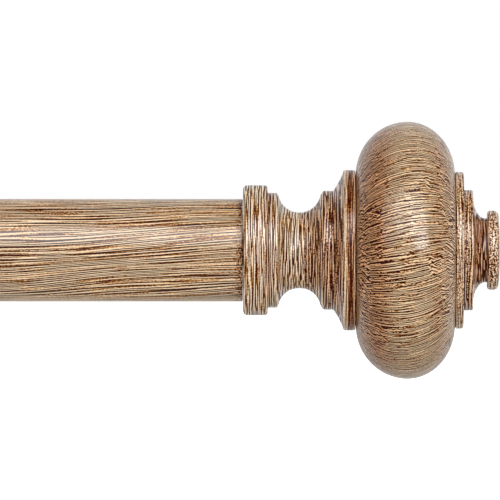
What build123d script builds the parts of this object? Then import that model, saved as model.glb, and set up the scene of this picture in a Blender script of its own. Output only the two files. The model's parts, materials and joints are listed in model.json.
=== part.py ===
from build123d import *

import os
from math import asin, degrees

# Telescoping curtain rod with two turned finials and two adjustable wall brackets.
#
# Frame: millimetres, +Z up, +X along the rod, +Y into the wall. The wall is the plane Y = 0, and the origin
# lies on it, midway between the brackets and level with the rod. The rod stands in front of the wall, at -Y.
#
# The wide outer tube ends at +X and the narrow inner tube slides out of it towards -X. Each free end holds a
# threaded plug, and each finial screws into its plug with a stud. Each bracket is a wall plate with a sleeve,
# an arm that slides in the sleeve, and a U-shaped cup on the arm in which the rod lies, open at the top.

# Clearances, each on the radius or across one gap.
fixed_fit = 0.02  # between pieces that are pressed or glued together
running_fit = 0.1  # between pieces that slide or turn in each other
thread_fit = 0.06  # between a screw and its threaded hole
cup_fit = 0.3  # between the rod and its cup
seat_gap = 0.05  # between flat faces of pieces that part
tip_gap = 0.06  # between a thumbscrew's tip and what it presses on

# Rod: two steel tubes, one inside the other.
rod_closed_length = 711.0  # from collar to collar with the rod pushed in
outer_diameter = 25.4
outer_wall = 0.9
inner_wall = 0.9
inner_shown_length = 51.0  # of the inner tube, with the rod pushed in
inner_end_gap = 29.0  # from the inner tube's glide to the outer tube's end plug, with the rod pushed in
tube_edge_round = 0.3

# Nylon pieces that guide one tube in the other.
liner_wall = 0.57
liner_length = 18.0
liner_lip_length = 1.2
glide_plug_length = 14.0
glide_head_length = 8.0
glide_wall = 2.0
glide_chamfer = 1.0

# Threaded plug in each free end, the stud that holds the finial to it, and the washer between them.
plug_length = 24.0
plug_chamfer = 0.6
stud_diameter = 8.0
stud_pitch = 1.25
stud_thread_depth = 0.7
stud_in_plug = 20.0
stud_in_finial = 16.0
stud_tip_chamfer = 1.0
washer_fit = 0.3
washer_ring = 4.7
washer_thickness = 0.6

# Finial, turned about the rod's axis. Lengths run outwards from the rod's end, radii from the axis.
collar_radius = 16.1
collar_length = 6.1
collar_round = 1.0
step_radius = 14.2
step_length = 2.1
step_chamfer = 0.45
neck_radius = 9.5
neck_cove_length = 10.9
bead_radius = 14.7
bead_length = 2.5
bead_chamfer = 0.7
flare_length = 2.6
flare_hollow = 0.2
flange_radius = 19.85
flange_length = 2.9
flange_round = 0.4
quirk_width = 0.3
quirk_radius = 18.5
bulb_radius = 31.8
bulb_inner_half = 12.6
bulb_outer_half = 11.5
disc_radius = 19.4
disc_length = 2.3
disc_round = 0.5
small_disc_radius = 14.9
small_disc_length = 2.2
small_disc_round = 0.25
button_cove_length = 2.9
button_neck_radius = 7.9
button_neck_length = 0.7
button_radius = 9.8
button_length = 2.9
button_round = 0.7
button_crown = 0.35

# Bracket: arm and the sleeve that it slides in.
bracket_end_distance = 90.0  # from each end of the closed rod to the middle of its bracket
rod_wall_distance = 90.0  # from the wall to the rod's axis with the arms pushed in
arm_diameter = 12.0
arm_flat_depth = 0.8
arm_back_gap = 1.0
arm_edge_round = 0.6
sleeve_wall = 2.9
sleeve_length = 44.0
sleeve_web = 4.0
sleeve_foot_ring = 3.0
sleeve_foot_length = 3.0
sleeve_bead_ring = 1.5
sleeve_bead_length = 4.0
sleeve_round = 0.7

# Bracket: wall plate.
plate_thickness = 3.0
plate_round = 1.0
plate_border_width = 3.5  # from the plate's edge to its raised panel
panel_thickness = 1.2
panel_round = 0.5
panel_border_width = 1.5  # from the panel's edge to the sleeve's foot
wall_hole_spacing = 56.0
wall_hole_diameter = 5.2
wall_hole_sink_ring = 2.2
wall_hole_sink_depth = 2.2
wall_hole_border_width = 4.7  # from a hole's countersink to the panel's end
rivet_diameter = 10.0
rivet_recess = 0.2

# Bracket: cup, and the screw that holds it on the arm.
cup_thickness = 3.0
cup_width = 16.0
cup_leg_height = 8.0
cup_leg_round = 1.3
cup_edge_round = 0.7
cup_back_boss_ring = 1.5
cup_back_boss_length = 4.0
cup_front_boss_length = 3.5
cup_screw_diameter = 5.0
cup_screw_length = 14.0
cup_screw_head_ring = 2.1
cup_screw_head_height = 2.2
cup_screw_head_recess = 0.4
cup_screw_slot_width = 1.1
cup_screw_slot_depth = 1.0
cup_screw_hole_extra = 1.5

# Thumbscrews: one in each cup against the rod, one in each sleeve against the arm.
thumb_diameter = 5.0
thumb_head_diameter = 11.5
thumb_head_height = 7.0
thumb_neck_ring = 1.5
thumb_neck_height = 1.5
thumb_gap = 1.2  # between a thumbscrew's neck and the boss that it screws into
thumb_flutes = 20
thumb_flute_radius = 0.6
thumb_edge_round = 0.5
thumb_tip_chamfer = 0.5
thumb_boss_wall = 2.9
lock_boss_height = 4.0
lock_from_mouth = 10.0  # from the sleeve's mouth to its thumbscrew

# Worked out from the sizes above: the rod.
rod_end = rod_closed_length / 2
outer_length = rod_closed_length - inner_shown_length
outer_mouth = rod_end - outer_length
outer_radius = outer_diameter / 2
outer_bore = outer_radius - outer_wall
liner_bore = outer_bore - fixed_fit - liner_wall
inner_radius = liner_bore - running_fit
inner_bore = inner_radius - inner_wall
inner_hidden_end = rod_end - plug_length - inner_end_gap - glide_head_length
inner_length = inner_hidden_end + rod_end
stud_radius = stud_diameter / 2
washer_bore = stud_radius + washer_fit
washer_radius = washer_bore + washer_ring
collar_face = 2 * seat_gap
washer_seat = 2 * seat_gap + washer_thickness

# Worked out from the sizes above: the brackets.
bracket_x = rod_end - bracket_end_distance
plate_face = plate_thickness + panel_thickness
arm_radius = arm_diameter / 2
arm_back = plate_face + sleeve_web + arm_back_gap
arm_flat = arm_radius - arm_flat_depth
sleeve_bore = arm_radius + running_fit
sleeve_radius = sleeve_bore + sleeve_wall
sleeve_foot_radius = sleeve_radius + sleeve_foot_ring
sleeve_mouth = plate_face + sleeve_length
panel_width = 2 * (sleeve_foot_radius + panel_border_width)
wall_hole_sink_radius = wall_hole_diameter / 2 + wall_hole_sink_ring
panel_height = wall_hole_spacing + 2 * (wall_hole_sink_radius + wall_hole_border_width)
cup_radius = outer_radius + cup_fit
cup_outer_radius = cup_radius + cup_thickness
cup_back = rod_wall_distance - cup_outer_radius - cup_back_boss_length
cup_front = rod_wall_distance + cup_outer_radius + cup_front_boss_length
cup_screw_radius = cup_screw_diameter / 2
cup_screw_hole = cup_screw_radius + fixed_fit
cup_screw_face = rod_wall_distance - cup_radius - cup_screw_head_recess
thumb_hole = thumb_diameter / 2 + thread_fit
thumb_boss_radius = thumb_hole + thumb_boss_wall
lock_boss_depth = sleeve_radius + lock_boss_height

FROM_START = (Align.CENTER, Align.CENTER, Align.MIN)


def along_x(radius, start, length):
    """A cylinder about the X axis, from X = start."""
    return Pos(start, 0, 0) * Rot(0, 90, 0) * Cylinder(radius, length, align=FROM_START)


def from_wall(radius, start, end):
    """A cylinder about the Y axis, between two distances from the wall."""
    return Pos(0, -start, 0) * Rot(90, 0, 0) * Cylinder(radius, end - start, align=FROM_START)


def downwards(radius, length):
    """A cylinder from the origin straight down."""
    return Rot(180, 0, 0) * Cylinder(radius, length, align=FROM_START)


def at_rod(piece):
    """Moves a piece made about the X axis to the rod's place in front of the wall."""
    return Pos(0, -rod_wall_distance, 0) * piece


def at_bracket(piece, side):
    """Moves a piece made in the plane X = 0 to the bracket on one side, 1 or -1."""
    return Pos(side * bracket_x, 0, 0) * piece


def at_end(piece, side):
    """Moves a piece made outwards from the origin to the rod's end on one side, 1 or -1."""
    placed = at_rod(Pos(rod_end, 0, 0) * piece)
    return placed if side > 0 else mirror(placed, about=Plane.YZ)


# ---------------------------------------------------------------- rod


def tube(radius, wall, start, length):
    """A steel tube with its outer rims broken."""
    body = along_x(radius, start, length) - along_x(radius - wall, start, length)
    rims = [e for e in body.edges().filter_by(GeomType.CIRCLE) if e.radius > radius - wall / 2]
    return fillet(rims, min(tube_edge_round, wall / 3))


def outer_tube():
    return at_rod(tube(outer_radius, outer_wall, outer_mouth, outer_length))


def inner_tube():
    return at_rod(tube(inner_radius, inner_wall, -rod_end, inner_length))


def mouth_liner():
    """Nylon sleeve in the outer tube's mouth, with a lip over the tube's cut edge."""
    lip_start = outer_mouth - liner_lip_length
    lip = along_x(outer_radius - fixed_fit, lip_start, liner_lip_length)
    lip = fillet(lip.edges().group_by(Axis.X)[0], liner_lip_length / 2)
    sleeve = along_x(outer_bore - fixed_fit, outer_mouth, liner_length)
    bore = along_x(liner_bore, lip_start, liner_lip_length + liner_length)
    return at_rod(lip + sleeve - bore)


def inner_glide():
    """Nylon plug in the hidden end of the inner tube, whose head runs in the outer tube."""
    start = inner_hidden_end - glide_plug_length
    plug = along_x(inner_bore - fixed_fit, start, glide_plug_length)
    head = along_x(outer_bore - running_fit, inner_hidden_end, glide_head_length)
    head = chamfer(head.edges().group_by(Axis.X)[-1], min(glide_chamfer, glide_head_length / 3))
    hollow_length = glide_plug_length + glide_head_length - glide_wall
    return at_rod(plug + head - along_x(inner_bore - glide_wall, start, hollow_length))


def end_plug(side):
    """Plug pressed into a tube's free end, flush with it, with the thread for the finial's stud."""
    bore = outer_bore if side > 0 else inner_bore
    body = along_x(bore - fixed_fit, -plug_length, plug_length)
    body -= along_x(stud_radius + thread_fit, -plug_length, plug_length)
    mouth = body.edges().group_by(Axis.X)[-1].sort_by(SortBy.RADIUS)[0]
    return at_end(chamfer(mouth, plug_chamfer), side)


# ------------------------------------------------------------- finials


def finial_outline():
    """Half of the finial's section: X is the distance from the rod's end, Y the radius."""
    step_start = collar_face + collar_length
    cove_start = step_start + step_length
    cove_end = cove_start + neck_cove_length
    bead_end = cove_end + bead_chamfer + bead_length
    flange_start = bead_end + flare_length
    quirk_start = flange_start + flange_length
    bulb_start = quirk_start + quirk_width
    bulb_crest = bulb_start + bulb_inner_half
    bulb_end = bulb_crest + bulb_outer_half
    disc_start = bulb_end + quirk_width
    small_disc_start = disc_start + disc_length
    button_cove_start = small_disc_start + small_disc_length
    button_cove_end = button_cove_start + button_cove_length
    button_start = button_cove_end + button_neck_length
    button_rim = button_start + button_length - button_crown
    bulb_height = bulb_radius - quirk_radius
    button_cove_height = small_disc_radius - button_neck_radius
    crown_radius = (button_radius**2 + button_crown**2) / (2 * button_crown)
    crown_centre = button_rim + button_crown - crown_radius
    crown_angle = degrees(asin(button_radius / crown_radius))

    collar_to_cove = Polyline(
        (collar_face, 0),
        (collar_face, collar_radius),
        (step_start, collar_radius),
        (step_start, step_radius),
        (cove_start - step_chamfer, step_radius),
        (cove_start, step_radius - step_chamfer),
    )
    neck_cove = ThreePointArc(
        (cove_start, step_radius - step_chamfer),
        ((cove_start + cove_end) / 2, neck_radius),
        (cove_end, bead_radius - bead_chamfer),
    )
    bead = Polyline(
        (cove_end, bead_radius - bead_chamfer),
        (cove_end + bead_chamfer, bead_radius),
        (bead_end, bead_radius),
    )
    flare = ThreePointArc(
        (bead_end, bead_radius),
        ((bead_end + flange_start) / 2, (bead_radius + flange_radius) / 2 - flare_hollow),
        (flange_start, flange_radius),
    )
    flange = Polyline(
        (flange_start, flange_radius),
        (quirk_start, flange_radius),
        (quirk_start, quirk_radius),
        (bulb_start, quirk_radius),
    )
    bulb_centre = (bulb_crest, quirk_radius)
    bulb_inner = EllipticalCenterArc(bulb_centre, bulb_inner_half, bulb_height, 90, arc_size=90)
    bulb_outer = EllipticalCenterArc(bulb_centre, bulb_outer_half, bulb_height, 0, arc_size=90)
    discs = Polyline(
        (bulb_end, quirk_radius),
        (disc_start, quirk_radius),
        (disc_start, disc_radius),
        (small_disc_start, disc_radius),
        (small_disc_start, small_disc_radius),
        (button_cove_start, small_disc_radius),
    )
    button_cove = EllipticalCenterArc(
        (button_cove_end, small_disc_radius), button_cove_length, button_cove_height, 180, arc_size=90
    )
    button = Polyline(
        (button_cove_end, button_neck_radius),
        (button_start, button_neck_radius),
        (button_start, button_radius),
        (button_rim, button_radius),
    )
    crown = CenterArc((crown_centre, 0), crown_radius, 0, crown_angle)
    axis = Line((button_rim + button_crown, 0), (collar_face, 0))
    inner_half = [collar_to_cove, neck_cove, bead, flare, flange, bulb_inner]
    outer_half = [bulb_outer, discs, button_cove, button, crown, axis]
    face = make_face(inner_half + outer_half)

    for place, radius, size in (
        (collar_face, collar_radius, collar_round),
        (step_start, collar_radius, min(collar_round, (collar_radius - step_radius) / 2)),
        (flange_start, flange_radius, flange_round),
        (quirk_start, flange_radius, min(flange_round, (flange_radius - quirk_radius) / 2)),
        (disc_start, disc_radius, min(disc_round, (disc_radius - quirk_radius) / 2)),
        (small_disc_start, disc_radius, disc_round),
        (button_cove_start, small_disc_radius, small_disc_round),
        (button_start, button_radius, button_round),
        (button_rim, button_radius, button_round),
    ):
        rim = face.vertices().sort_by_distance((place, radius, 0))[0]
        face = fillet(rim, size)
    return face


def finial_body(side):
    """The cast finial, with the recess for its washer and the hole that holds its stud."""
    body = revolve(finial_outline(), Axis.X)
    body -= along_x(washer_radius + running_fit, 0, washer_seat)
    body -= along_x(stud_radius + fixed_fit, 0, washer_seat + stud_in_finial)
    return at_end(body, side)


def finial_stud(side):
    """Threaded stud, half in the finial and half in the rod's end plug. Its thread is drawn as rings."""
    thread_start = stud_tip_chamfer - stud_in_plug
    minor_radius = stud_radius - stud_thread_depth
    points = [
        (-stud_in_plug, 0),
        (-stud_in_plug, stud_radius - stud_tip_chamfer),
        (thread_start, stud_radius),
    ]
    for turn in range(int((washer_seat - thread_start) / stud_pitch)):
        groove = thread_start + turn * stud_pitch
        points.append((groove + stud_pitch / 2, minor_radius))
        points.append((groove + stud_pitch, stud_radius))
    points.append((washer_seat + stud_in_finial, stud_radius))
    points.append((washer_seat + stud_in_finial, 0))
    return at_end(revolve(make_face(Polyline(*points, close=True)), Axis.X), side)


def finial_washer(side):
    """Nylon washer between the rod's end and the finial's recess."""
    disc = along_x(washer_radius, seat_gap, washer_thickness)
    return at_end(disc - along_x(washer_bore, seat_gap, washer_thickness), side)


# ------------------------------------------------------------ brackets


def oval(width, height, depth, edge_round):
    """An upright oval slab on the wall, with its front edge rounded."""
    slab = extrude(Plane.XZ * SlotOverall(height, width, rotation=90), depth)
    return fillet(slab.edges().group_by(Axis.Y)[0], edge_round)


def wall_plate(side):
    """Oval plate with a raised panel, two countersunk screw holes and a hole for the sleeve's rivet."""
    border = 2 * plate_border_width
    plate = oval(panel_width + border, panel_height + border, plate_thickness, plate_round)
    plate += oval(panel_width, panel_height, plate_face, panel_round)
    plate -= from_wall(rivet_diameter / 2, 0, plate_face)
    hole_radius = wall_hole_diameter / 2
    sink = Cone(wall_hole_sink_radius, hole_radius, wall_hole_sink_depth, align=FROM_START)
    for z in (-wall_hole_spacing / 2, wall_hole_spacing / 2):
        plate -= Pos(0, 0, z) * from_wall(hole_radius, 0, plate_face)
        plate -= Pos(0, -plate_face, z) * Rot(-90, 0, 0) * sink
    return at_bracket(plate, side)


def arm_sleeve(side):
    """Sleeve riveted to the wall plate, in which the arm slides, with a boss below for the lock screw."""
    body = from_wall(sleeve_radius, plate_face, sleeve_mouth)
    foot = from_wall(sleeve_foot_radius, plate_face, plate_face + sleeve_foot_length)
    body += fillet(foot.edges().group_by(Axis.Y)[0], sleeve_round)
    bead = from_wall(sleeve_radius + sleeve_bead_ring, sleeve_mouth - sleeve_bead_length, sleeve_mouth)
    body += fillet(bead.edges().filter_by(GeomType.CIRCLE), sleeve_round)
    boss = downwards(thumb_boss_radius, lock_boss_depth)
    boss = fillet(boss.edges().group_by(Axis.Z)[0], sleeve_round)
    to_lock = Pos(0, lock_from_mouth - sleeve_mouth, 0)
    body += to_lock * boss
    body += from_wall(rivet_diameter / 2 - fixed_fit, rivet_recess, plate_face)
    body -= from_wall(sleeve_bore, plate_face + sleeve_web, sleeve_mouth)
    body -= to_lock * downwards(thumb_hole, lock_boss_depth)
    return at_bracket(body, side)


def arm(side):
    """Round bar with a flat below for the lock screw and a hole in front for the cup's screw."""
    bar = from_wall(arm_radius, arm_back, cup_back)
    bar = fillet(bar.edges().group_by(Axis.Y)[-1], arm_edge_round)
    below = (Align.CENTER, Align.MAX, Align.MAX)
    bar -= Pos(0, -arm_back, -arm_flat) * Box(arm_diameter, sleeve_mouth - arm_back, arm_radius, align=below)
    hole_end = cup_screw_face - cup_screw_length - cup_screw_hole_extra
    bar -= from_wall(cup_screw_hole, hole_end, cup_back)
    return at_bracket(bar, side)


def countersunk_head(extra):
    """The head of the cup's screw, grown by extra on its radius."""
    narrow = cup_screw_radius + extra
    head = Cone(narrow, narrow + cup_screw_head_ring, cup_screw_head_height, align=FROM_START)
    return Pos(0, cup_screw_head_height - cup_screw_face, 0) * Rot(90, 0, 0) * head


def cup(side):
    """U-shaped cup, open at the top, with a boss behind for the arm and one in front for the thumbscrew."""
    leg_up = (Align.CENTER, Align.MIN)
    outer = Circle(cup_outer_radius) + Rectangle(2 * cup_outer_radius, cup_leg_height, align=leg_up)
    outer -= Pos(0, cup_leg_height) * Rectangle(3 * cup_outer_radius, cup_outer_radius, align=leg_up)
    inner = Circle(cup_radius) + Rectangle(2 * cup_radius, 2 * cup_outer_radius, align=leg_up)
    strap = outer - inner
    strap = fillet(strap.vertices().group_by(Axis.Y)[-1], min(cup_leg_round, cup_thickness * 0.45))
    body = extrude(Plane.YZ * strap, cup_width / 2, both=True)
    rims = body.edges().group_by(Axis.X)
    body = fillet(rims[0] + rims[-1], min(cup_edge_round, cup_thickness * 0.4))

    back = from_wall(arm_radius + cup_back_boss_ring, -cup_outer_radius - cup_back_boss_length, 0)
    body += fillet(back.edges().group_by(Axis.Y)[-1], cup_edge_round)
    front = from_wall(thumb_boss_radius, 0, cup_outer_radius + cup_front_boss_length)
    body += fillet(front.edges().group_by(Axis.Y)[0], cup_edge_round)
    body -= extrude(Plane.YZ * inner, cup_width, both=True)

    body = at_rod(body)
    body -= from_wall(thumb_hole, rod_wall_distance, cup_front)
    body -= from_wall(cup_screw_hole, cup_back, rod_wall_distance)
    body -= from_wall(cup_screw_hole + cup_screw_head_ring, cup_screw_face, rod_wall_distance)
    body -= countersunk_head(fixed_fit)
    return at_bracket(body, side)


def cup_screw(side):
    """Slotted countersunk screw that holds the cup on the arm."""
    body = from_wall(cup_screw_radius, cup_screw_face - cup_screw_length, cup_screw_face)
    body += countersunk_head(0)
    slot = Box(4 * cup_screw_diameter, 2 * cup_screw_slot_depth, cup_screw_slot_width)
    return at_bracket(body - Pos(0, -cup_screw_face, 0) * slot, side)


def thumbscrew(boss_depth):
    """A knurled thumbscrew along +Z with its tip at the origin, for a boss whose face is boss_depth away."""
    neck_start = boss_depth + thumb_gap
    head_start = neck_start + thumb_neck_height
    thread = Cylinder(thumb_diameter / 2, head_start, align=FROM_START)
    thread = chamfer(thread.edges().group_by(Axis.Z)[0], thumb_tip_chamfer)
    neck = Cylinder(thumb_diameter / 2 + thumb_neck_ring, thumb_neck_height, align=FROM_START)
    head = Cylinder(thumb_head_diameter / 2, thumb_head_height, align=FROM_START)
    head = fillet(head.edges().filter_by(GeomType.CIRCLE), thumb_edge_round)
    flute = Cylinder(thumb_flute_radius, thumb_head_height, align=FROM_START)
    head -= [place * flute for place in PolarLocations(thumb_head_diameter / 2, thumb_flutes)]
    return thread + Pos(0, 0, neck_start) * neck + Pos(0, 0, head_start) * head


def cup_thumbscrew(side):
    """Thumbscrew through the cup's front boss, pressing on the rod."""
    tip = rod_wall_distance + outer_radius + tip_gap
    return at_bracket(Pos(0, -tip, 0) * Rot(90, 0, 0) * thumbscrew(cup_front - tip), side)


def arm_thumbscrew(side):
    """Thumbscrew through the sleeve's boss, pressing on the arm's flat."""
    tip = arm_flat + tip_gap
    screw = Rot(180, 0, 0) * thumbscrew(lock_boss_depth - tip)
    return at_bracket(Pos(0, lock_from_mouth - sleeve_mouth, -tip) * screw, side)


rod_pieces = (outer_tube, inner_tube, mouth_liner, inner_glide)
end_pieces = (end_plug, finial_body, finial_stud, finial_washer)
bracket_pieces = (wall_plate, arm_sleeve, arm, cup, cup_screw, cup_thumbscrew, arm_thumbscrew)

os.makedirs("parts", exist_ok=True)
for piece in rod_pieces:
    export_step(piece(), f"parts/{piece.__name__}.step")
for name, side in (("right", 1), ("left", -1)):
    for piece in end_pieces + bracket_pieces:
        export_step(piece(side), f"parts/{name}_{piece.__name__}.step")
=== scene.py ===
import json
import math

import bpy
import numpy as np
from mathutils import Matrix, Vector


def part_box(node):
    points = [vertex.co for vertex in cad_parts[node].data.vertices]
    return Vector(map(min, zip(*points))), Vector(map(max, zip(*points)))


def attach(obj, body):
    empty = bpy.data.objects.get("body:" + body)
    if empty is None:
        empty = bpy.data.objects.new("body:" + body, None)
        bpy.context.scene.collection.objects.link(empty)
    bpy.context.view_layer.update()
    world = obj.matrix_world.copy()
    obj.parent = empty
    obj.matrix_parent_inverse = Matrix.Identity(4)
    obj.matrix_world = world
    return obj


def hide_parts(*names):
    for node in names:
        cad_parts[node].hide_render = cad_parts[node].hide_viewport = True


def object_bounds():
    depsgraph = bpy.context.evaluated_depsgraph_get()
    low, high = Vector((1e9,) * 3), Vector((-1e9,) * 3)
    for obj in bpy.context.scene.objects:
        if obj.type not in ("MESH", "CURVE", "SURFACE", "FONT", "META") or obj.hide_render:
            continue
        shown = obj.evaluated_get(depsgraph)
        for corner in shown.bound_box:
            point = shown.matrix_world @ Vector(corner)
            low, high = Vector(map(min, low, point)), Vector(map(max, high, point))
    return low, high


# Looks of a telescoping curtain rod with turned finials and wall brackets, hand-painted as wood.
# Everything is in metres in the part's own frame: +X along the rod, +Y into the wall, +Z up.

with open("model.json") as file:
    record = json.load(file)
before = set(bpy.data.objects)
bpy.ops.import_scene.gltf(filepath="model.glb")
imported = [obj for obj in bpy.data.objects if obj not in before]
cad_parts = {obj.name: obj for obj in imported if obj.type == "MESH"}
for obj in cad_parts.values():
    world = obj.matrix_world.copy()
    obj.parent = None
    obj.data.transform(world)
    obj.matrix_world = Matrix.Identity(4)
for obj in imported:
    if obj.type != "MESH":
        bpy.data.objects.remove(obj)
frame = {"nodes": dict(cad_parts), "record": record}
cad_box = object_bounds()

MM = 0.001
# A length in millimetres that counts as nothing.
TINY = 1e-6

# ------------------------------------------------------------------ places, read from the frame

tube_low, tube_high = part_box("outer_tube")
axis_y = (tube_low.y + tube_high.y) / 2
tube_radius = (tube_high.z - tube_low.z) / 2
rod_end = tube_high.x


# ------------------------------------------------------------------ outlines of turned pieces, in millimetres


class Outline:
    """Half of a turned piece's section, as points (distance along the axis, radius)."""

    def __init__(self, along, radius):
        self.points = [Vector((along, radius))]
        self.rounds = [0]

    def to(self, along, radius, rounding=0):
        """A straight line, to a corner that may be rounded."""
        self.points.append(Vector((along, radius)))
        self.rounds.append(rounding)

    def arc(self, along, radius, rise, steps=32):
        """A circular arc that stands out from its chord by rise, or lies back if rise is negative."""
        start, end = self.points[-1], Vector((along, radius))
        chord = end - start
        bend = (chord.length_squared / 4 + rise**2) / (2 * rise)
        outwards = Vector((-chord.y, chord.x)).normalized()
        centre = (start + end) / 2 + outwards * (rise - bend)
        sweep = (start - centre).angle_signed(end - centre)
        for i in range(1, steps + 1):
            spoke = Matrix.Rotation(-sweep * i / steps, 2) @ (start - centre)
            self.to(*(centre + spoke))

    def quarter(self, along, radius, half_length, height, start, turn, steps=48):
        """A quarter of an ellipse about a centre, from an angle and through a turn in degrees."""
        for i in range(1, steps + 1):
            angle = math.radians(start + turn * i / steps)
            self.to(along + half_length * math.cos(angle), radius + height * math.sin(angle))

    def rounded(self, steps=8):
        """The outline's points, with its corners rounded."""
        made = []
        for i, (corner, rounding) in enumerate(zip(self.points, self.rounds)):
            if not rounding:
                made.append(corner)
                continue
            before = (self.points[i - 1] - corner).normalized()
            after = (self.points[i + 1] - corner).normalized()
            half = before.angle(after) / 2
            centre = corner + (before + after).normalized() * rounding / math.sin(half)
            start = corner + before * rounding / math.tan(half)
            end = corner + after * rounding / math.tan(half)
            for step in range(steps + 1):
                spoke = start.lerp(end, step / steps) - centre
                made.append(centre + spoke.normalized() * rounding)
        return made

    def rings(self, spacing):
        """Points no further apart than spacing, as an array of (along, radius)."""
        corners = self.rounded()
        made = [corners[0]]
        for a, b in zip(corners, corners[1:]):
            steps = max(1, math.ceil((b - a).length / spacing))
            made += [a.lerp(b, i / steps) for i in range(1, steps + 1) if (b - a).length > TINY]
        return np.array(made)


def run_of(points, steep=1.0):
    """The length along an outline up to each of its points.

    With steep below 1, only lengths along the axis count, and on steep faces that share of the whole length.
    """
    steps = np.linalg.norm(np.diff(points, axis=0), axis=1)
    along = np.abs(np.diff(points[:, 0]))
    return np.concatenate([[0], np.cumsum(np.maximum(along, steep * steps))])


def stands_out(points, reach):
    """How far each point of an outline stands out of the outline smoothed over reach, as a share of reach."""
    spacing = 0.05
    run = run_of(points)
    grid = np.arange(0, run[-1], spacing)
    line = np.stack([np.interp(grid, run, points[:, i]) for i in (0, 1)], axis=1)
    kernel = np.exp(-0.5 * (np.arange(-3 * reach, 3 * reach, spacing) / reach) ** 2)
    kernel /= kernel.sum()
    pad = len(kernel)
    padded = np.pad(line, ((pad, pad), (0, 0)), mode="reflect", reflect_type="odd")
    soft = np.stack([np.convolve(padded[:, i], kernel, "same")[pad:-pad] for i in (0, 1)], axis=1)
    along = np.gradient(soft, axis=0)
    along /= np.linalg.norm(along, axis=1, keepdims=True) + 1e-9
    outwards = np.stack([-along[:, 1], along[:, 0]], axis=1)
    return np.interp(run, grid, ((line - soft) * outwards).sum(axis=1)) / reach


# ------------------------------------------------------------------ meshes


def new_object(name, vertices, faces, attributes=None):
    """A smooth mesh object, with a value for each vertex under each attribute's name."""
    mesh = bpy.data.meshes.new(name)
    mesh.from_pydata([tuple(v) for v in vertices], [], faces)
    mesh.validate()
    mesh.shade_smooth()
    for key, values in (attributes or {}).items():
        layer = mesh.attributes.new(key, "FLOAT", "POINT")
        layer.data.foreach_set("value", np.asarray(values, np.float32))
    made = bpy.data.objects.new(name, mesh)
    bpy.context.scene.collection.objects.link(made)
    return made


def joined(rows, segments, closed):
    """Faces between rings of vertices, from one end to the other, or right round a closed section."""
    faces = []
    for near, far in zip(rows, rows[1:] + rows[:1] if closed else rows[1:]):
        for i in range(segments):
            j = (i + 1) % segments
            faces.append(list(dict.fromkeys([near[i], far[i], far[j], near[j]])))
    return faces


def turned(name, points, segments, origin, side, closed=False, values=None):
    """A piece turned about the rod's axis, from points (along, radius) in millimetres.

    Lengths run from X = origin towards side, 1 or -1. A closed outline is a ring's section; an open one
    starts and ends on the axis. values holds a number for each point under each attribute's name.
    """
    angles = np.linspace(0, 2 * math.pi, segments, endpoint=False)
    vertices, rows = [], []
    for along, radius in points:
        if radius < TINY:
            rows.append([len(vertices)] * segments)
            vertices.append((origin + side * along * MM, axis_y, 0))
        else:
            rows.append(range(len(vertices), len(vertices) + segments))
            for angle in angles:
                y = axis_y - radius * MM * math.cos(angle)
                vertices.append((origin + side * along * MM, y, radius * MM * math.sin(angle)))
    faces = joined(rows if side > 0 else rows[::-1], segments, closed)
    attributes = {}
    for key, numbers in (values or {}).items():
        spread = np.zeros(len(vertices))
        for row, number in zip(rows, numbers):
            spread[list(row)] = number
        attributes[key] = spread
    return new_object(name, vertices, faces, attributes)


# ------------------------------------------------------------------ finials

# Radii, in millimetres.
BORE = 9.1
COLLAR = 16.1
STEP = 14.2
COVE = 13.5
BEAD = 14.7
FLANGE = 19.85
QUIRK = 18.5
BULB = 31.8
DISC = 19.4
SMALL_DISC = 14.9
COVE_TOP = 13.4
BUTTON_NECK = 7.9
BUTTON = 9.8
# How far the cove goes in from COVE, and the flange's hollow front face from its chord.
COVE_DEPTH = 4.15
FLANGE_HOLLOW = 0.2
# Lengths from the tube's end, in millimetres.
BULB_START = 27.95
BULB_CREST = 40.8
BULB_END = 52.5
# The mesh's fineness: the space between rings, in millimetres, and the points in each ring.
RING_SPACING = 0.4
RING_POINTS = 160
# How far the rubbed edge of a corner, and the painted shade in a hollow, reach, in millimetres.
EDGE_REACH = 0.35
# The share of their length that marks keep on steep faces.
STEEP_SHARE = 0.4
# The radius from which the bulb has its own strokes.
BULB_PAINTED = QUIRK + 1.0

# How much dark glaze and painted shade there is at each length from the tube's end. Below 0 the paint is
# paler than elsewhere.
# The painted shade lies in the grooves and on the sides that face away from the light, as on the bulb's left
# side.
GLAZE_AND_PAINTED_SHADE = [
    # collar, step and cove
    (0.0, 0.5), (0.6, -0.1), (5.4, -0.3), (6.1, 0.6), (7.0, -0.1), (9.0, 0.0), (11.0, -0.1), (13.2, -0.2),
    (15.0, 0.3), (17.0, 0.8), (19.3, 0.7),
    # bead and flange
    (19.8, 0.65), (21.5, 0.8), (22.6, 1.35), (24.0, 1.15), (24.8, 0.3), (25.2, -0.8), (25.7, -0.4),
    (26.0, 1.4), (27.1, 1.4), (27.4, -0.6), (27.6, -0.4),
    # bulb, with painted shade on its left side, away from the light
    (27.9, 2.4), (29.5, 2.4), (31.5, 2.0), (34.0, 1.0), (37.0, 0.25), (40.0, -0.1), (45.0, -0.05),
    (48.0, 0.35), (52.4, 0.25),
    # discs, their cove and the button, with painted shade in the groove before the button
    (52.6, 0.8), (52.9, -0.4), (54.3, 0.1), (54.6, 1.0), (55.0, 0.1), (56.6, 0.4), (57.3, 0.7), (58.6, 1.3),
    (60.4, 2.0), (60.6, 0.6), (61.3, -0.2), (63.0, -0.2),
]
# How strongly the marks stand out.
MARKED = [
    (0.0, 1.0), (8.0, 1.1), (12.0, 1.2), (25.0, 1.3), (25.3, 0.5), (27.9, 0.5), (28.3, 1.8), (34.0, 1.5),
    (38.0, 1.15), (46.0, 1.15), (51.0, 1.4), (58.0, 1.25), (58.8, 0.8), (60.3, 0.8), (60.6, 1.3),
]
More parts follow.
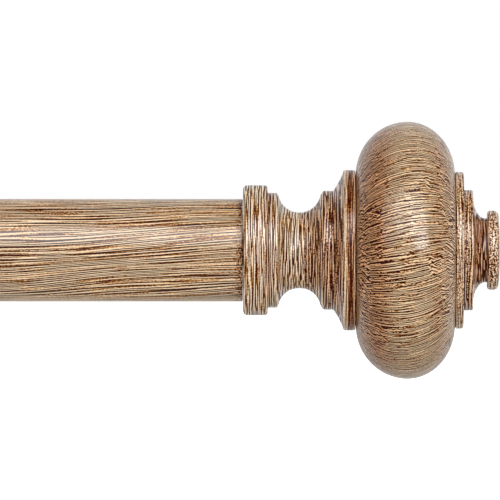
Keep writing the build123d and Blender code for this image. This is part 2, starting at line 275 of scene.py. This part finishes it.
# How far the surface is dabbed rather than brushed.
DABBED = [
    (0.0, 0.3), (6.0, 0.1), (14.0, 0.1), (17.0, 0.25), (22.0, 0.3), (23.0, 0.35), (24.9, 0.4), (25.3, 0.3),
    (27.9, 0.3), (28.0, 0.5), (53.0, 0.5), (57.0, 0.4), (58.0, 0.1), (60.4, 0.1), (61.0, 0.75),
]


def finial_outline():
    """The finial's outline from the tube's end outwards, in millimetres, as the photograph shows it."""
    line = Outline(0.75, 0)
    line.to(0.75, BORE)
    line.to(0.1, BORE, 0.15)
    line.to(0.1, COLLAR, 1.0)
    line.to(6.2, COLLAR, 0.9)
    line.to(6.3, STEP, 0.12)
    line.to(8.6, STEP, 0.5)
    line.to(8.85, COVE)
    line.arc(19.2, COVE, -COVE_DEPTH)
    line.to(19.9, BEAD, 0.6)
    line.to(22.4, BEAD, 0.3)
    line.arc(24.95, FLANGE - 0.2, -FLANGE_HOLLOW, 12)
    line.to(25.2, FLANGE, 0.3)
    line.to(27.8, FLANGE, 0.35)
    line.to(27.9, QUIRK, 0.08)
    line.to(BULB_START, QUIRK)
    line.quarter(BULB_CREST, QUIRK, BULB_CREST - BULB_START, BULB - QUIRK, 180, -90)
    line.quarter(BULB_CREST, QUIRK, BULB_END - BULB_CREST, BULB - QUIRK, 90, -90)
    line.to(52.55, QUIRK, 0.08)
    line.to(52.6, DISC, 0.35)
    line.to(54.6, DISC, 0.5)
    line.to(54.65, SMALL_DISC, 0.12)
    line.to(56.9, SMALL_DISC, 0.3)
    line.to(57.0, COVE_TOP)
    line.quarter(60.0, COVE_TOP, 3.0, COVE_TOP - BUTTON_NECK, 180, 90)
    line.to(60.45, BUTTON_NECK, 0.12)
    line.to(60.5, BUTTON, 0.7)
    line.to(63.1, BUTTON, 1.2)
    line.arc(63.6, 0, 0.2, 12)
    return line


def finial(side, name, body):
    """A turned finial, with the values that its paint follows."""
    points = finial_outline().rings(RING_SPACING)
    points[-1, 1] = 0
    along, radius = points.T
    values = {
        "edge": stands_out(points, EDGE_REACH),
        "glaze_and_shade": np.interp(along, *zip(*GLAZE_AND_PAINTED_SHADE)),
        "bulb": (along > BULB_START) & (along < BULB_END) & (radius > BULB_PAINTED),
        "crossed": ((along - BULB_CREST) / (BULB_END - BULB_CREST)) ** 2,
        "dabbed": np.interp(along, *zip(*DABBED)),
        "marked": np.interp(along, *zip(*MARKED)),
        "run": run_of(points) * MM,
        "flat_run": run_of(points, STEEP_SHARE) * MM,
    }
    made = turned(f"{name}_finial", points, RING_POINTS, side * rod_end, side, values=values)
    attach(made, body)
    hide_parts(f"{name}_finial_body")
    return made


# ------------------------------------------------------------------ tubes and studs

# In millimetres: the rounding of a tube's end, its wall, and the length at each end that is dabbed and
# darkened with painted shade.
EDGE = 0.3
WALL = 0.9
END = 4.0
# The points in each of a tube's rings, and the parts that its length between the ends is divided into.
TUBE_POINTS = 224
TUBE_PARTS = 11
# In millimetres: the thread's pitch and depth, and the chamfer at the stud's tips.
STUD_PITCH = 1.25
STUD_DEPTH = 0.7
STUD_TIP = 0.9
# The thread's section: how steep its flanks are, and how far they would rise past its flat crest.
FLANK = 1.5
CREST = 0.25
# The points in each of the stud's rings, and the rings in each turn of its thread.
STUD_POINTS = 48
STEPS_A_TURN = 10


def tube(name, body):
    """A tube with rounded ends, finely divided so that its outline is smooth."""
    low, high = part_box(name)
    length, radius = (high.x - low.x) / MM, (high.z - low.z) / 2 / MM
    line = Outline(0, radius - WALL / 2)
    line.to(0, radius, EDGE)
    for along in (END / 3, *np.linspace(END, length - END, TUBE_PARTS + 1), length - END / 3):
        line.to(along, radius)
    line.to(length, radius, EDGE)
    line.to(length, radius - WALL, EDGE)
    line.to(0, radius - WALL, EDGE)
    line.to(0, radius - WALL / 2)
    points = np.array(line.rounded()[:-1])
    ends = 1 - np.clip(np.minimum(points[:, 0], length - points[:, 0]) / END, 0, 1)
    made = turned(f"{name}_painted", points, TUBE_POINTS, low.x, 1, closed=True, values={"end": ends})
    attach(made, body)
    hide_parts(name)
    return made


def stud(name, body):
    """A threaded stud with chamfered ends."""
    low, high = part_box(f"{name}_finial_stud")
    length, radius = (high.x - low.x) / MM, (high.z - low.z) / 2 / MM
    steps = round(length / STUD_PITCH * STEPS_A_TURN)
    rows = [[0] * STUD_POINTS]
    vertices = [(low.x, axis_y, 0)]
    for i in range(steps + 1):
        along = length * i / steps
        limit = radius - max(0, STUD_TIP - min(along, length - along))
        rows.append(range(len(vertices), len(vertices) + STUD_POINTS))
        for j in range(STUD_POINTS):
            phase = (along / STUD_PITCH + j / STUD_POINTS) % 1
            height = min(1, max(0, 1 + CREST - abs(2 * phase - 1) * FLANK))
            reach = min(limit, radius - STUD_DEPTH * (1 - height)) * MM
            angle = 2 * math.pi * j / STUD_POINTS
            vertices.append((low.x + along * MM, axis_y - reach * math.cos(angle), reach * math.sin(angle)))
    rows.append([len(vertices)] * STUD_POINTS)
    vertices.append((high.x, axis_y, 0))
    made = new_object(f"{name}_stud", vertices, joined(rows, STUD_POINTS, False))
    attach(made, body)
    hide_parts(f"{name}_finial_stud")
    return made


# ------------------------------------------------------------------ materials


def rgb(*colour):
    """A colour written as it looks on a screen, 0 to 255, as the renderer takes it."""
    return tuple(((c / 255 + 0.055) / 1.055) ** 2.4 if c > 10 else c / 255 / 12.92 for c in colour) + (1,)


class Paint:
    """A material with a Principled shader, and short ways to add nodes to it."""

    def __init__(self, name, **shader):
        self.material = bpy.data.materials.new(name)
        self.material.use_nodes = True
        self.nodes = self.material.node_tree.nodes
        self.links = self.material.node_tree.links
        self.shader = self.nodes["Principled BSDF"]
        for key, value in shader.items():
            self.shader.inputs[key.replace("_", " ")].default_value = value

    def add(self, kind, *inputs, **settings):
        """A node with its settings and its enabled inputs in order: a value, a socket to link, or None."""
        node = self.nodes.new(kind)
        for key, value in settings.items():
            setattr(node, key, value)
        for socket, value in zip([s for s in node.inputs if s.enabled], inputs):
            if isinstance(value, bpy.types.NodeSocket):
                self.links.new(value, socket)
            elif value is not None:
                socket.default_value = value
        return node

    def moved(self, vector, *step):
        """A vector with a step added to it."""
        return self.add("ShaderNodeVectorMath", vector, step).outputs[0]

    def stretched(self, vector, *scale):
        """A vector scaled in each direction."""
        return self.add("ShaderNodeVectorMath", vector, scale, operation="MULTIPLY").outputs[0]

    def occlusion(self, distance, inside=False):
        """1 on open surfaces, less in hollows, or on outer edges when it looks inside the piece."""
        settings = {"inside": inside, "only_local": True, "samples": 8}
        return self.add("ShaderNodeAmbientOcclusion", None, distance, **settings).outputs["AO"]

    def math(self, operation, *values):
        return self.add("ShaderNodeMath", *values, operation=operation).outputs[0]

    def clamp(self, value, low, high, to_low=0.0, to_high=1.0):
        """value taken from low..high to to_low..to_high, held at both ends."""
        return self.add("ShaderNodeMapRange", value, low, high, to_low, to_high).outputs[0]

    def noise(self, vector, scale, detail, roughness=0.5):
        """Noise about 0.5, with scale lumps to a unit of length."""
        return self.add("ShaderNodeTexNoise", vector, scale, detail, roughness).outputs["Fac"]

    def ramp(self, value, stops):
        """A colour for each value, from a list of (place, colour)."""
        node = self.add("ShaderNodeValToRGB", value)
        ramp = node.color_ramp
        while len(ramp.elements) < len(stops):
            ramp.elements.new(0.5)
        for element, (place, colour) in zip(ramp.elements, stops):
            element.position = place
            element.color = colour
        return node.outputs[0]

    def mix(self, factor, below, above, blend="MIX"):
        """A colour between two others, or blended from them."""
        return self.add("ShaderNodeMix", factor, below, above, data_type="RGBA", blend_type=blend).outputs[2]

    def blend(self, factor, below, above):
        """A number between two others."""
        return self.add("ShaderNodeMix", factor, below, above, data_type="FLOAT").outputs[0]

    def attribute(self, name):
        """The value that the mesh carries under a name."""
        return self.add("ShaderNodeAttribute", attribute_name=name).outputs["Fac"]

    def set(self, name, value):
        """Link a value to one of the shader's inputs."""
        self.links.new(value, self.shader.inputs[name])

    def bump(self, height, distance):
        """Relief, in which a height of 1 is as high as distance."""
        node = self.add("ShaderNodeBump")
        node.inputs["Distance"].default_value = distance
        self.links.new(height, node.inputs["Height"])
        self.set("Normal", node.outputs[0])


# The paint's colours, from the dark glaze in the grooves to the pale tops of the strokes.
STROKES = [
    (-2.2, rgb(58, 8, 0)),
    (-1.3, rgb(98, 42, 2)),
    (-0.7, rgb(130, 78, 18)),
    (0.0, rgb(167, 120, 64)),
    (0.7, rgb(208, 167, 115)),
    (1.3, rgb(242, 210, 170)),
    (2.2, rgb(255, 246, 226)),
]
# What thick glaze and painted shade do to them.
GLAZE_AND_SHADE_COLOUR = rgb(242, 208, 186)
# They lean a little to gold or to rose from place to place, and as a whole to a warmer tint.
GOLD = rgb(255, 248, 236)
ROSE = rgb(255, 245, 248)
WARM = rgb(255, 234, 208)


def stroke_colours(paint, value):
    """The strokes' colours for a value whose mean is 0 and standard deviation is about 1."""
    low, high = STROKES[0][0], STROKES[-1][0]
    place = paint.clamp(value, low, high)
    return paint.ramp(place, [((at - low) / (high - low), colour) for at, colour in STROKES])


# Layers of brush marks: how long and how wide, as shares of a mark's size, and how strong.
LAYERS = [(1.6, 10.0, 1.6), (1.0, 3.0, 1.2), (0.8, 1.4, 2.0)]
# How strong the marks' ridges are, from thin paint to thick, and how long and wide such places are in marks.
RIDGES = (15.0, 32.0)
EVEN_RIDGES = (22.0, 30.0)
SOFT_RIDGES = (9.0, 20.0)
THICK = (1.5, 5.0)
# Grain in the marks, and the specks and clouds of the dabbed finish.
GRAIN = 6.0
SPECKS = 0.36 * MM
SPECKED = 19.0
CLOUDS = 2.5 * MM
CLOUDED = 1.5
# How far the marks' edges wander, and the size of their steps.
RAGGED = 0.12 * MM
RAGGED_SIZE = 0.7 * MM
# How far a mark's light side lies from its dark side.
RIDGE_STEP = 0.2 * MM
# How far rubbed edges are paler, and places of glaze and painted shade stronger in contrast and darker.
RUBBED = 1.7
GLAZE_AND_SHADE_CONTRAST = 0.45
GLAZE_AND_SHADE_DARKENING = -1.0
# The size of the places that lean to gold or to rose.
TINT_SIZE = 7 * MM
# The shades between which the coat's weight goes from its least to its most.
COATED = (-1.2, 0.6)
# The height of a mark of shade 1.
RELIEF = 0.008 * MM
# The shader's own values under the paint.
PAINTED = {"Roughness": 0.5, "Specular_IOR_Level": 0.05, "Coat_IOR": 1.8, "Coat_Roughness": 0.15}


def brushed(paint, place, beside, along, around, contrast=RIDGES):
    """Brush marks as a value of mean 0 and standard deviation about 1.

    along and around are the marks' sizes in the place's first direction and in the other two. beside is the
    place moved across the marks by less than a mark's width, so that each mark has a light and a dark side.
    """
    lengthwise = along > around

    def layer(where, long, wide, shift):
        """Noise in marks of a length and width, shifted so that no two layers are alike."""
        a, b = (long, wide) if lengthwise else (wide, long)
        scaled = paint.stretched(where, 1 / (along * a), 1 / (around * b), 1 / (around * b))
        return paint.noise(paint.moved(scaled, shift, 2 * shift, 3 * shift), 1, 0.5)

    ridges = paint.math("SUBTRACT", layer(place, 1, 1, 31.7), layer(beside, 1, 1, 31.7))
    thick = layer(place, *THICK, 77.1)
    total = paint.math("MULTIPLY", ridges, paint.clamp(thick, 0.35, 0.65, *contrast))
    speckle = paint.noise(place, 1 / SPECKS, 1)
    total = paint.math("MULTIPLY_ADD", paint.math("SUBTRACT", speckle, 0.5), GRAIN, total)
    for i, (long, wide, weight) in enumerate(LAYERS):
        mark = paint.math("SUBTRACT", layer(place, long, wide, 1.7 + 3.4 * i), 0.5)
        total = paint.math("MULTIPLY_ADD", mark, weight, total)
    return total


def speckled(paint, place):
    """A dabbed finish of small dark and light specks, as a value like that of brush marks."""
    specks = paint.math("SUBTRACT", paint.noise(place, 1 / SPECKS, 0.5), 0.5)
    cloud = paint.math("SUBTRACT", paint.noise(place, 1 / CLOUDS, 2), 0.5)
    return paint.math("MULTIPLY_ADD", cloud, CLOUDED, paint.math("MULTIPLY", specks, SPECKED))


def from_axis(paint, order="xyz"):
    """Places measured from the rod's axis, with their directions in a given order."""
    place = paint.add("ShaderNodeTexCoord").outputs["Object"]
    place = paint.moved(place, 0, -axis_y, 0)
    if order == "xyz":
        return place
    split = paint.add("ShaderNodeSeparateXYZ", place)
    return paint.add("ShaderNodeCombineXYZ", *[split.outputs["xyz".index(axis)] for axis in order]).outputs[0]


def ragged(paint, place):
    """A place moved a little every way, so that marks have rough edges."""
    node = paint.add("ShaderNodeTexNoise", place, 1 / RAGGED_SIZE, 1.0)
    centred = paint.moved(node.outputs["Color"], -0.5, -0.5, -0.5)
    moved = paint.add("ShaderNodeVectorMath", centred, (RAGGED,) * 3, place, operation="MULTIPLY_ADD")
    return moved.outputs[0]


def twisted(paint, place, angle):
    """A place turned about the first direction."""
    return paint.add("ShaderNodeVectorRotate", place, (0, 0, 0), angle, rotation_type="X_AXIS").outputs[0]


def wooden(paint, place, value, glaze_and_shade, warm, rubbed=None, gloss=(0.5, 1.0)):
    """The painted surface: dark glaze and painted shade in hollows and on shaded sides, edges rubbed pale,
    the marks' relief and a clear coat.

    value is the marks' shade. warm is how far the colour leans to the warmer tint. gloss is the coat's weight
    on the darkest and on the palest marks.
    """
    shade = value
    if rubbed is not None:
        shade = paint.math("MULTIPLY_ADD", rubbed, RUBBED, shade)
    # Where there is glaze and painted shade, the marks are darker, stronger in contrast and tinted redder.
    contrast = paint.math("MULTIPLY_ADD", glaze_and_shade, GLAZE_AND_SHADE_CONTRAST, 1.0)
    shade = paint.math("MULTIPLY_ADD", shade, contrast, paint.math("MULTIPLY", glaze_and_shade, GLAZE_AND_SHADE_DARKENING))
    tint = paint.mix(paint.clamp(paint.noise(place, 1 / TINT_SIZE, 2), 0.4, 0.6), GOLD, ROSE)
    tint = paint.mix(warm, tint, WARM)
    colour = paint.mix(1.0, stroke_colours(paint, shade), tint, "MULTIPLY")
    colour = paint.mix(glaze_and_shade, colour, paint.mix(1.0, colour, GLAZE_AND_SHADE_COLOUR, "MULTIPLY"))
    paint.set("Base Color", colour)
    paint.set("Coat Weight", paint.clamp(shade, *COATED, *gloss))
    paint.bump(value, RELIEF)
    return paint.material


# The rod's strokes: their length and width, how far they drift round the rod, in radians per metre, and the
# turn in radians at which that starts.
ROD_STROKE = (18 * MM, 0.31 * MM)
ROD_DRIFT = 4.0
ROD_START = 2.8
# How far they wander from that, in radians, and how often per metre, along the rod and across it.
WANDER = 0.6
WANDER_SCALE = (12, 60, 60)


def tube_paint(name):
    """Faux wood brushed along the rod, in strokes that drift a little round it, and dabbed and darkened with
    painted shade at its ends.
    """
    paint = Paint(name, **PAINTED)
    place = from_axis(paint)
    wander = paint.noise(paint.stretched(place, *WANDER_SCALE), 1, 1)
    along = paint.add("ShaderNodeSeparateXYZ", place).outputs[0]
    drift = paint.math("MULTIPLY_ADD", along, ROD_DRIFT, ROD_START)
    place = ragged(paint, twisted(paint, place, paint.math("MULTIPLY_ADD", wander, WANDER, drift)))
    beside = twisted(paint, place, RIDGE_STEP / tube_radius)
    end = paint.attribute("end")
    value = brushed(paint, place, beside, *ROD_STROKE)
    value = paint.blend(paint.clamp(end, 0.4, 1.2), value, speckled(paint, place))
    # Painted shade at the tube's ends, where it meets a finial or the other tube.
    glaze_and_shade = paint.clamp(end, 0.6, 1.0, 0.0, 0.6)
    return wooden(paint, place, value, glaze_and_shade, warm=0.75, gloss=(0.95, 0.55))


# The radius at which the finial's surface is unrolled flat for its strokes.
UNROLLED = 16 * MM
# The width and length of the strokes round its rings, and how warm they are beside the bulb's.
RING_STROKE = (0.32 * MM, 7 * MM)
RING_WARMTH = 0.3
# The bulb's strokes: their length, and how far a dark side lies from a light side, as a share of their width.
BULB_STROKE = 7 * MM
SIDE_SHARE = 0.72
# How far they turn round the bulb, in radians per metre, and how wide they are: the fine ones, and the two
# sets that cross.
FINE = (5.5, 0.14 * MM)
CROSSING = [(10.5, 0.24 * MM), (-13.0, 0.24 * MM)]
# The crossing strokes come in patches, more of them towards the bulb's sides, and each set in smaller ones.
CROSSED = 0.4
PATCH_SIZE = 3 * MM
WOVEN_SIZE = 1.2 * MM


def spokes(paint, place):
    """The direction from the rod's axis to each place."""
    split = paint.add("ShaderNodeSeparateXYZ", place)
    across = paint.add("ShaderNodeCombineXYZ", 0.0, split.outputs[1], split.outputs[2]).outputs[0]
    return paint.add("ShaderNodeVectorMath", across, operation="NORMALIZE").outputs[0]


def bulb_strokes(paint, place, run):
    """Strokes that follow the bulb's outline: fine ones, and patches where broader ones cross."""

    def strokes(turn, width):
        skewed = twisted(paint, place, paint.math("MULTIPLY", run, turn))
        beside = twisted(paint, skewed, SIDE_SHARE * width / UNROLLED)
        return brushed(paint, skewed, beside, BULB_STROKE, width, EVEN_RIDGES)

    woven = paint.clamp(paint.noise(place, 1 / WOVEN_SIZE, 1), 0.46, 0.54)
    woven = paint.blend(woven, *[strokes(*stroke) for stroke in CROSSING])
    patches = paint.noise(place, 1 / PATCH_SIZE, 1)
    patches = paint.math("MULTIPLY_ADD", paint.attribute("crossed"), CROSSED, patches)
    return paint.blend(paint.clamp(patches, 0.65, 0.85), strokes(*FINE), woven)


def finial_paint(name):
    """Faux wood brushed round the turned rings and along the bulb's outline, and partly dabbed."""
    paint = Paint(name, **PAINTED)
    whole = from_axis(paint)
    spoke = spokes(paint, whole)

    def unrolled(length):
        """The surface laid flat: the length along the outline, and the two directions round the axis."""
        along = paint.add("ShaderNodeCombineXYZ", length).outputs[0]
        around = paint.stretched(spoke, 0, UNROLLED, UNROLLED)
        return ragged(paint, paint.add("ShaderNodeVectorMath", around, along).outputs[0])

    run, bulb, edge = (paint.attribute(key) for key in ("run", "bulb", "edge"))
    flat = unrolled(paint.attribute("flat_run"))
    rings = brushed(paint, flat, paint.moved(flat, RIDGE_STEP, 0, 0), *RING_STROKE)
    rings = paint.blend(paint.attribute("dabbed"), rings, speckled(paint, whole))
    value = paint.blend(bulb, rings, bulb_strokes(paint, unrolled(run), run))
    value = paint.math("MULTIPLY", value, paint.attribute("marked"))
    # Painted shade in the outline's hollows is added to the listed glaze and painted shade.
    glaze_and_shade = paint.math("ADD", paint.attribute("glaze_and_shade"), paint.clamp(edge, -0.1, -0.4))
    rubbed = paint.clamp(edge, 0.12, 0.4)
    warm = paint.clamp(bulb, 0.0, 1.0, RING_WARMTH, 1.0)
    return wooden(paint, whole, value, glaze_and_shade, warm, rubbed, gloss=(0.35, 1.0))


# The brackets' strokes along a piece, by length and width, and round it, by width and length.
LONG_STROKE = (12 * MM, 0.36 * MM)
ROUND_STROKE = (0.36 * MM, 10 * MM)


def bracket_paint(name, order, along, around):
    """Faux wood on a cast piece, brushed along the first direction in order, or round it, with painted shade
    in its hollows.
    """
    paint = Paint(name, **PAINTED)
    place = from_axis(paint, order)
    if along > around:
        aslant = 0.7 * RIDGE_STEP
        beside = paint.moved(place, 0, aslant, aslant)
    else:
        beside = paint.moved(place, RIDGE_STEP, 0, 0)
    # Painted shade in hollows, by occlusion, darkening the paint like glaze.
    glaze_and_shade = paint.clamp(paint.occlusion(3 * MM), 0.9, 0.45)
    rubbed = paint.clamp(paint.occlusion(0.8 * MM, True), 0.85, 0.5)
    value = brushed(paint, place, beside, along, around, SOFT_RIDGES)
    return wooden(paint, place, value, glaze_and_shade, 0.5, rubbed)


def bronze(name):
    """Antique bronze: brown-black, with the metal showing where fingers rub it."""
    paint = Paint(name, Metallic=0.85)
    place = from_axis(paint)
    mottle = paint.noise(place, scale=900, detail=5, roughness=0.6)
    browns = [(0.3, rgb(40, 26, 18)), (0.5, rgb(78, 54, 36)), (0.75, rgb(120, 86, 56))]
    colour = paint.ramp(mottle, browns)
    worn = paint.clamp(paint.occlusion(0.7 * MM, True), 0.8, 0.45)
    worn = paint.math("MULTIPLY", worn, paint.clamp(mottle, 0.35, 0.6, 0.3, 1.0))
    paint.set("Base Color", paint.mix(worn, colour, rgb(186, 142, 92)))
    paint.set("Roughness", paint.clamp(mottle, 0.3, 0.7, 0.5, 0.34))
    paint.bump(paint.noise(place, scale=2600, detail=2, roughness=0.6), 0.03 * MM)
    return paint.material


def zinc(name):
    """Zinc-plated steel with a faint spangle, and painted shade in its hollows."""
    paint = Paint(name, Metallic=1.0)
    place = from_axis(paint)
    cloud = paint.noise(place, scale=350, detail=3, roughness=0.6)
    greys = [(0.3, rgb(168, 166, 158)), (0.6, rgb(206, 205, 200)), (0.8, rgb(222, 220, 208))]
    colour = paint.ramp(cloud, greys)
    # Painted shade in hollows, by occlusion, mixed towards a dark grey.
    hollow_shade = paint.clamp(paint.occlusion(1.0 * MM), 0.8, 0.3, 0, 0.7)
    paint.set("Base Color", paint.mix(hollow_shade, colour, rgb(92, 88, 80)))
    paint.set("Roughness", paint.clamp(cloud, 0.25, 0.75, 0.28, 0.46))
    drawn = paint.stretched(place, 300, 2500, 2500)
    paint.bump(paint.noise(drawn, scale=1, detail=3, roughness=0.6), 0.015 * MM)
    return paint.material


def nylon(name):
    """Natural nylon, moulded: off-white, a little waxy, with fine flow marks."""
    paint = Paint(name, Subsurface_Weight=0.15, Subsurface_Scale=1.5 * MM)
    place = from_axis(paint)
    cloud = paint.noise(place, scale=160, detail=3)
    colour = paint.ramp(cloud, [(0.3, rgb(214, 208, 194)), (0.7, rgb(232, 228, 216))])
    # Painted shade in hollows, by occlusion, mixed towards a darker beige.
    painted_shade = paint.clamp(paint.occlusion(1.5 * MM), 0.85, 0.4, 0, 0.5)
    paint.set("Base Color", paint.mix(painted_shade, colour, rgb(150, 140, 122)))
    paint.set("Roughness", paint.clamp(cloud, 0.3, 0.7, 0.42, 0.55))
    paint.bump(paint.noise(place, scale=1800, detail=3, roughness=0.6), 0.02 * MM)
    return paint.material


finishes = {
    "faux_wood_tube": tube_paint("faux_wood_tube"),
    "faux_wood_resin": finial_paint("faux_wood_resin"),
    "zinc_steel": zinc("zinc_steel"),
    "thumbscrew_bronze": bronze("thumbscrew_bronze"),
    "nylon": nylon("nylon"),
}
upright = bracket_paint("faux_wood_upright", "zxy", *LONG_STROKE)
level = bracket_paint("faux_wood_level", "yxz", *LONG_STROKE)
wrapped = bracket_paint("faux_wood_wrapped", "xyz", *ROUND_STROKE)
for entry in frame["record"]["subparts"]:
    finish = finishes.get(entry["material_slot"])
    if finish:
        frame["nodes"][entry["node"]].data.materials[0] = finish
for name in ("right", "left"):
    for piece, finish in (("wall_plate", upright), ("arm_sleeve", level), ("arm", level), ("cup", wrapped)):
        frame["nodes"][f"{name}_{piece}"].data.materials[0] = finish

tube("outer_tube", "rod_outer").data.materials.append(finishes["faux_wood_tube"])
tube("inner_tube", "rod_inner").data.materials.append(finishes["faux_wood_tube"])
for side, name in ((1, "right"), (-1, "left")):
    piece = finial(side, name, f"{name}_finial")
    piece.data.materials.append(finishes["faux_wood_resin"])
    stud(name, f"{name}_finial").data.materials.append(finishes["zinc_steel"])


# ------------------------------------------------------------------ stage, light and camera

# The floor's half width and how far it lies below the object, in metres, and how far it glows for the camera.
FLOOR_SIZE = 40.0
FLOOR_DROP = 0.1
FLOOR_GLOW = 0.6
# The depth behind the rod, in metres, over which the floor seen in gloss goes from dark to pale.
FLOOR_SHADE = 0.25
# The world's light for the body's colour and in gloss, by the Y of its direction, from the room's side to the
# wall's: where it starts and where it ends to rise, and its strengths there.
BODY_LEVELS = (-0.2, 1.0, 0.44, 0.9)
GLOSS_LEVELS = (0.3, 0.95, 0.03, 0.85)


def make_floor():
    """A pale floor, white to the camera, and in gloss dark on the room's side."""
    height = cad_box[0].z - FLOOR_DROP
    corners = [(x * FLOOR_SIZE, y * FLOOR_SIZE, height) for x, y in ((-1, -1), (1, -1), (1, 1), (-1, 1))]
    floor = new_object("floor", corners, [(0, 1, 2, 3)])
    paint = Paint("floor", Roughness=0.9, Specular_IOR_Level=0.0, Emission_Color=(1, 1, 1, 1))
    path = paint.add("ShaderNodeLightPath")
    place = paint.add("ShaderNodeTexCoord").outputs["Object"]
    depth = paint.add("ShaderNodeSeparateXYZ", place).outputs[1]
    shaded = paint.clamp(depth, axis_y, axis_y + FLOOR_SHADE, 1.0, 0.0)
    shaded = paint.math("MULTIPLY", shaded, path.outputs["Is Glossy Ray"])
    paint.set("Base Color", paint.mix(shaded, rgb(240, 240, 238), rgb(100, 100, 99)))
    paint.set("Emission Strength", paint.math("MULTIPLY", path.outputs["Is Camera Ray"], FLOOR_GLOW))
    floor.data.materials.append(paint.material)


def make_world():
    """A white studio: plain to the camera and through glass, brighter behind the object than before it."""
    world = bpy.data.worlds.new("studio")
    bpy.context.scene.world = world
    world.use_nodes = True
    nodes, links = world.node_tree.nodes, world.node_tree.links
    nodes.clear()
    path = nodes.new("ShaderNodeLightPath")
    seen = nodes.new("ShaderNodeMath")
    seen.operation = "MAXIMUM"
    links.new(path.outputs["Is Camera Ray"], seen.inputs[0])
    links.new(path.outputs["Is Transmission Ray"], seen.inputs[1])
    direction = nodes.new("ShaderNodeTexCoord")
    split = nodes.new("ShaderNodeSeparateXYZ")
    links.new(direction.outputs["Generated"], split.inputs[0])
    strength = nodes.new("ShaderNodeMix")
    links.new(path.outputs["Is Glossy Ray"], strength.inputs["Factor"])
    for socket, levels in (("A", BODY_LEVELS), ("B", GLOSS_LEVELS)):
        level = nodes.new("ShaderNodeMapRange")
        links.new(split.outputs["Y"], level.inputs["Value"])
        for key, value in zip(("From Min", "From Max", "To Min", "To Max"), levels):
            level.inputs[key].default_value = value
        links.new(level.outputs[0], strength.inputs[socket])
    shown = nodes.new("ShaderNodeMix")
    shown.inputs["B"].default_value = 1.0
    links.new(seen.outputs[0], shown.inputs["Factor"])
    links.new(strength.outputs[0], shown.inputs["A"])
    background = nodes.new("ShaderNodeBackground")
    background.inputs["Color"].default_value = (1, 1, 1, 1)
    links.new(shown.outputs[0], background.inputs["Strength"])
    output = nodes.new("ShaderNodeOutputWorld")
    links.new(background.outputs[0], output.inputs["Surface"])


def make_light(name, azimuth, elevation, strength, spread, diffuse=True, glossy=True):
    """A soft sun from a direction: azimuth from the room's side towards +X, and elevation, in degrees."""
    lamp = bpy.data.lights.new(name, "SUN")
    lamp.energy = strength
    lamp.angle = math.radians(spread)
    light = bpy.data.objects.new(name, lamp)
    light.visible_diffuse, light.visible_glossy = diffuse, glossy
    bpy.context.scene.collection.objects.link(light)
    a, e = math.radians(azimuth), math.radians(elevation)
    towards = Vector((math.sin(a) * math.cos(e), -math.cos(a) * math.cos(e), math.sin(e)))
    light.rotation_euler = towards.to_track_quat("Z", "Y").to_euler()


def make_camera():
    """Straight on to the rod's right end, with the finial at the right edge of the frame."""
    distance, frame_width, past_end, above_axis = 3.0, 0.12376, 0.0018, 0.00007
    lens = bpy.data.cameras.new("camera")
    lens.sensor_width = 36.0
    lens.lens = lens.sensor_width * distance / frame_width
    camera = bpy.data.objects.new("camera", lens)
    camera.location = (rod_end + past_end, axis_y - distance, above_axis)
    camera.rotation_euler = (math.radians(90), 0, 0)
    bpy.context.scene.collection.objects.link(camera)
    bpy.context.scene.camera = camera


make_floor()
make_world()
make_light("key", 25, 33, 0.7, 50)
make_light("softbox", 30, 17, 0.8, 44, diffuse=False)
make_light("softbox_low", 38, -4, 1.0, 40, diffuse=False)
make_light("softbox_side", -10, 33, 0.9, 46, diffuse=False)
make_light("softbox_left", -46, 26, 0.5, 46, diffuse=False)
make_light("front", 10, 2, 1.9, 60, glossy=False)
make_camera()
bpy.context.scene.view_settings.view_transform = "Standard"
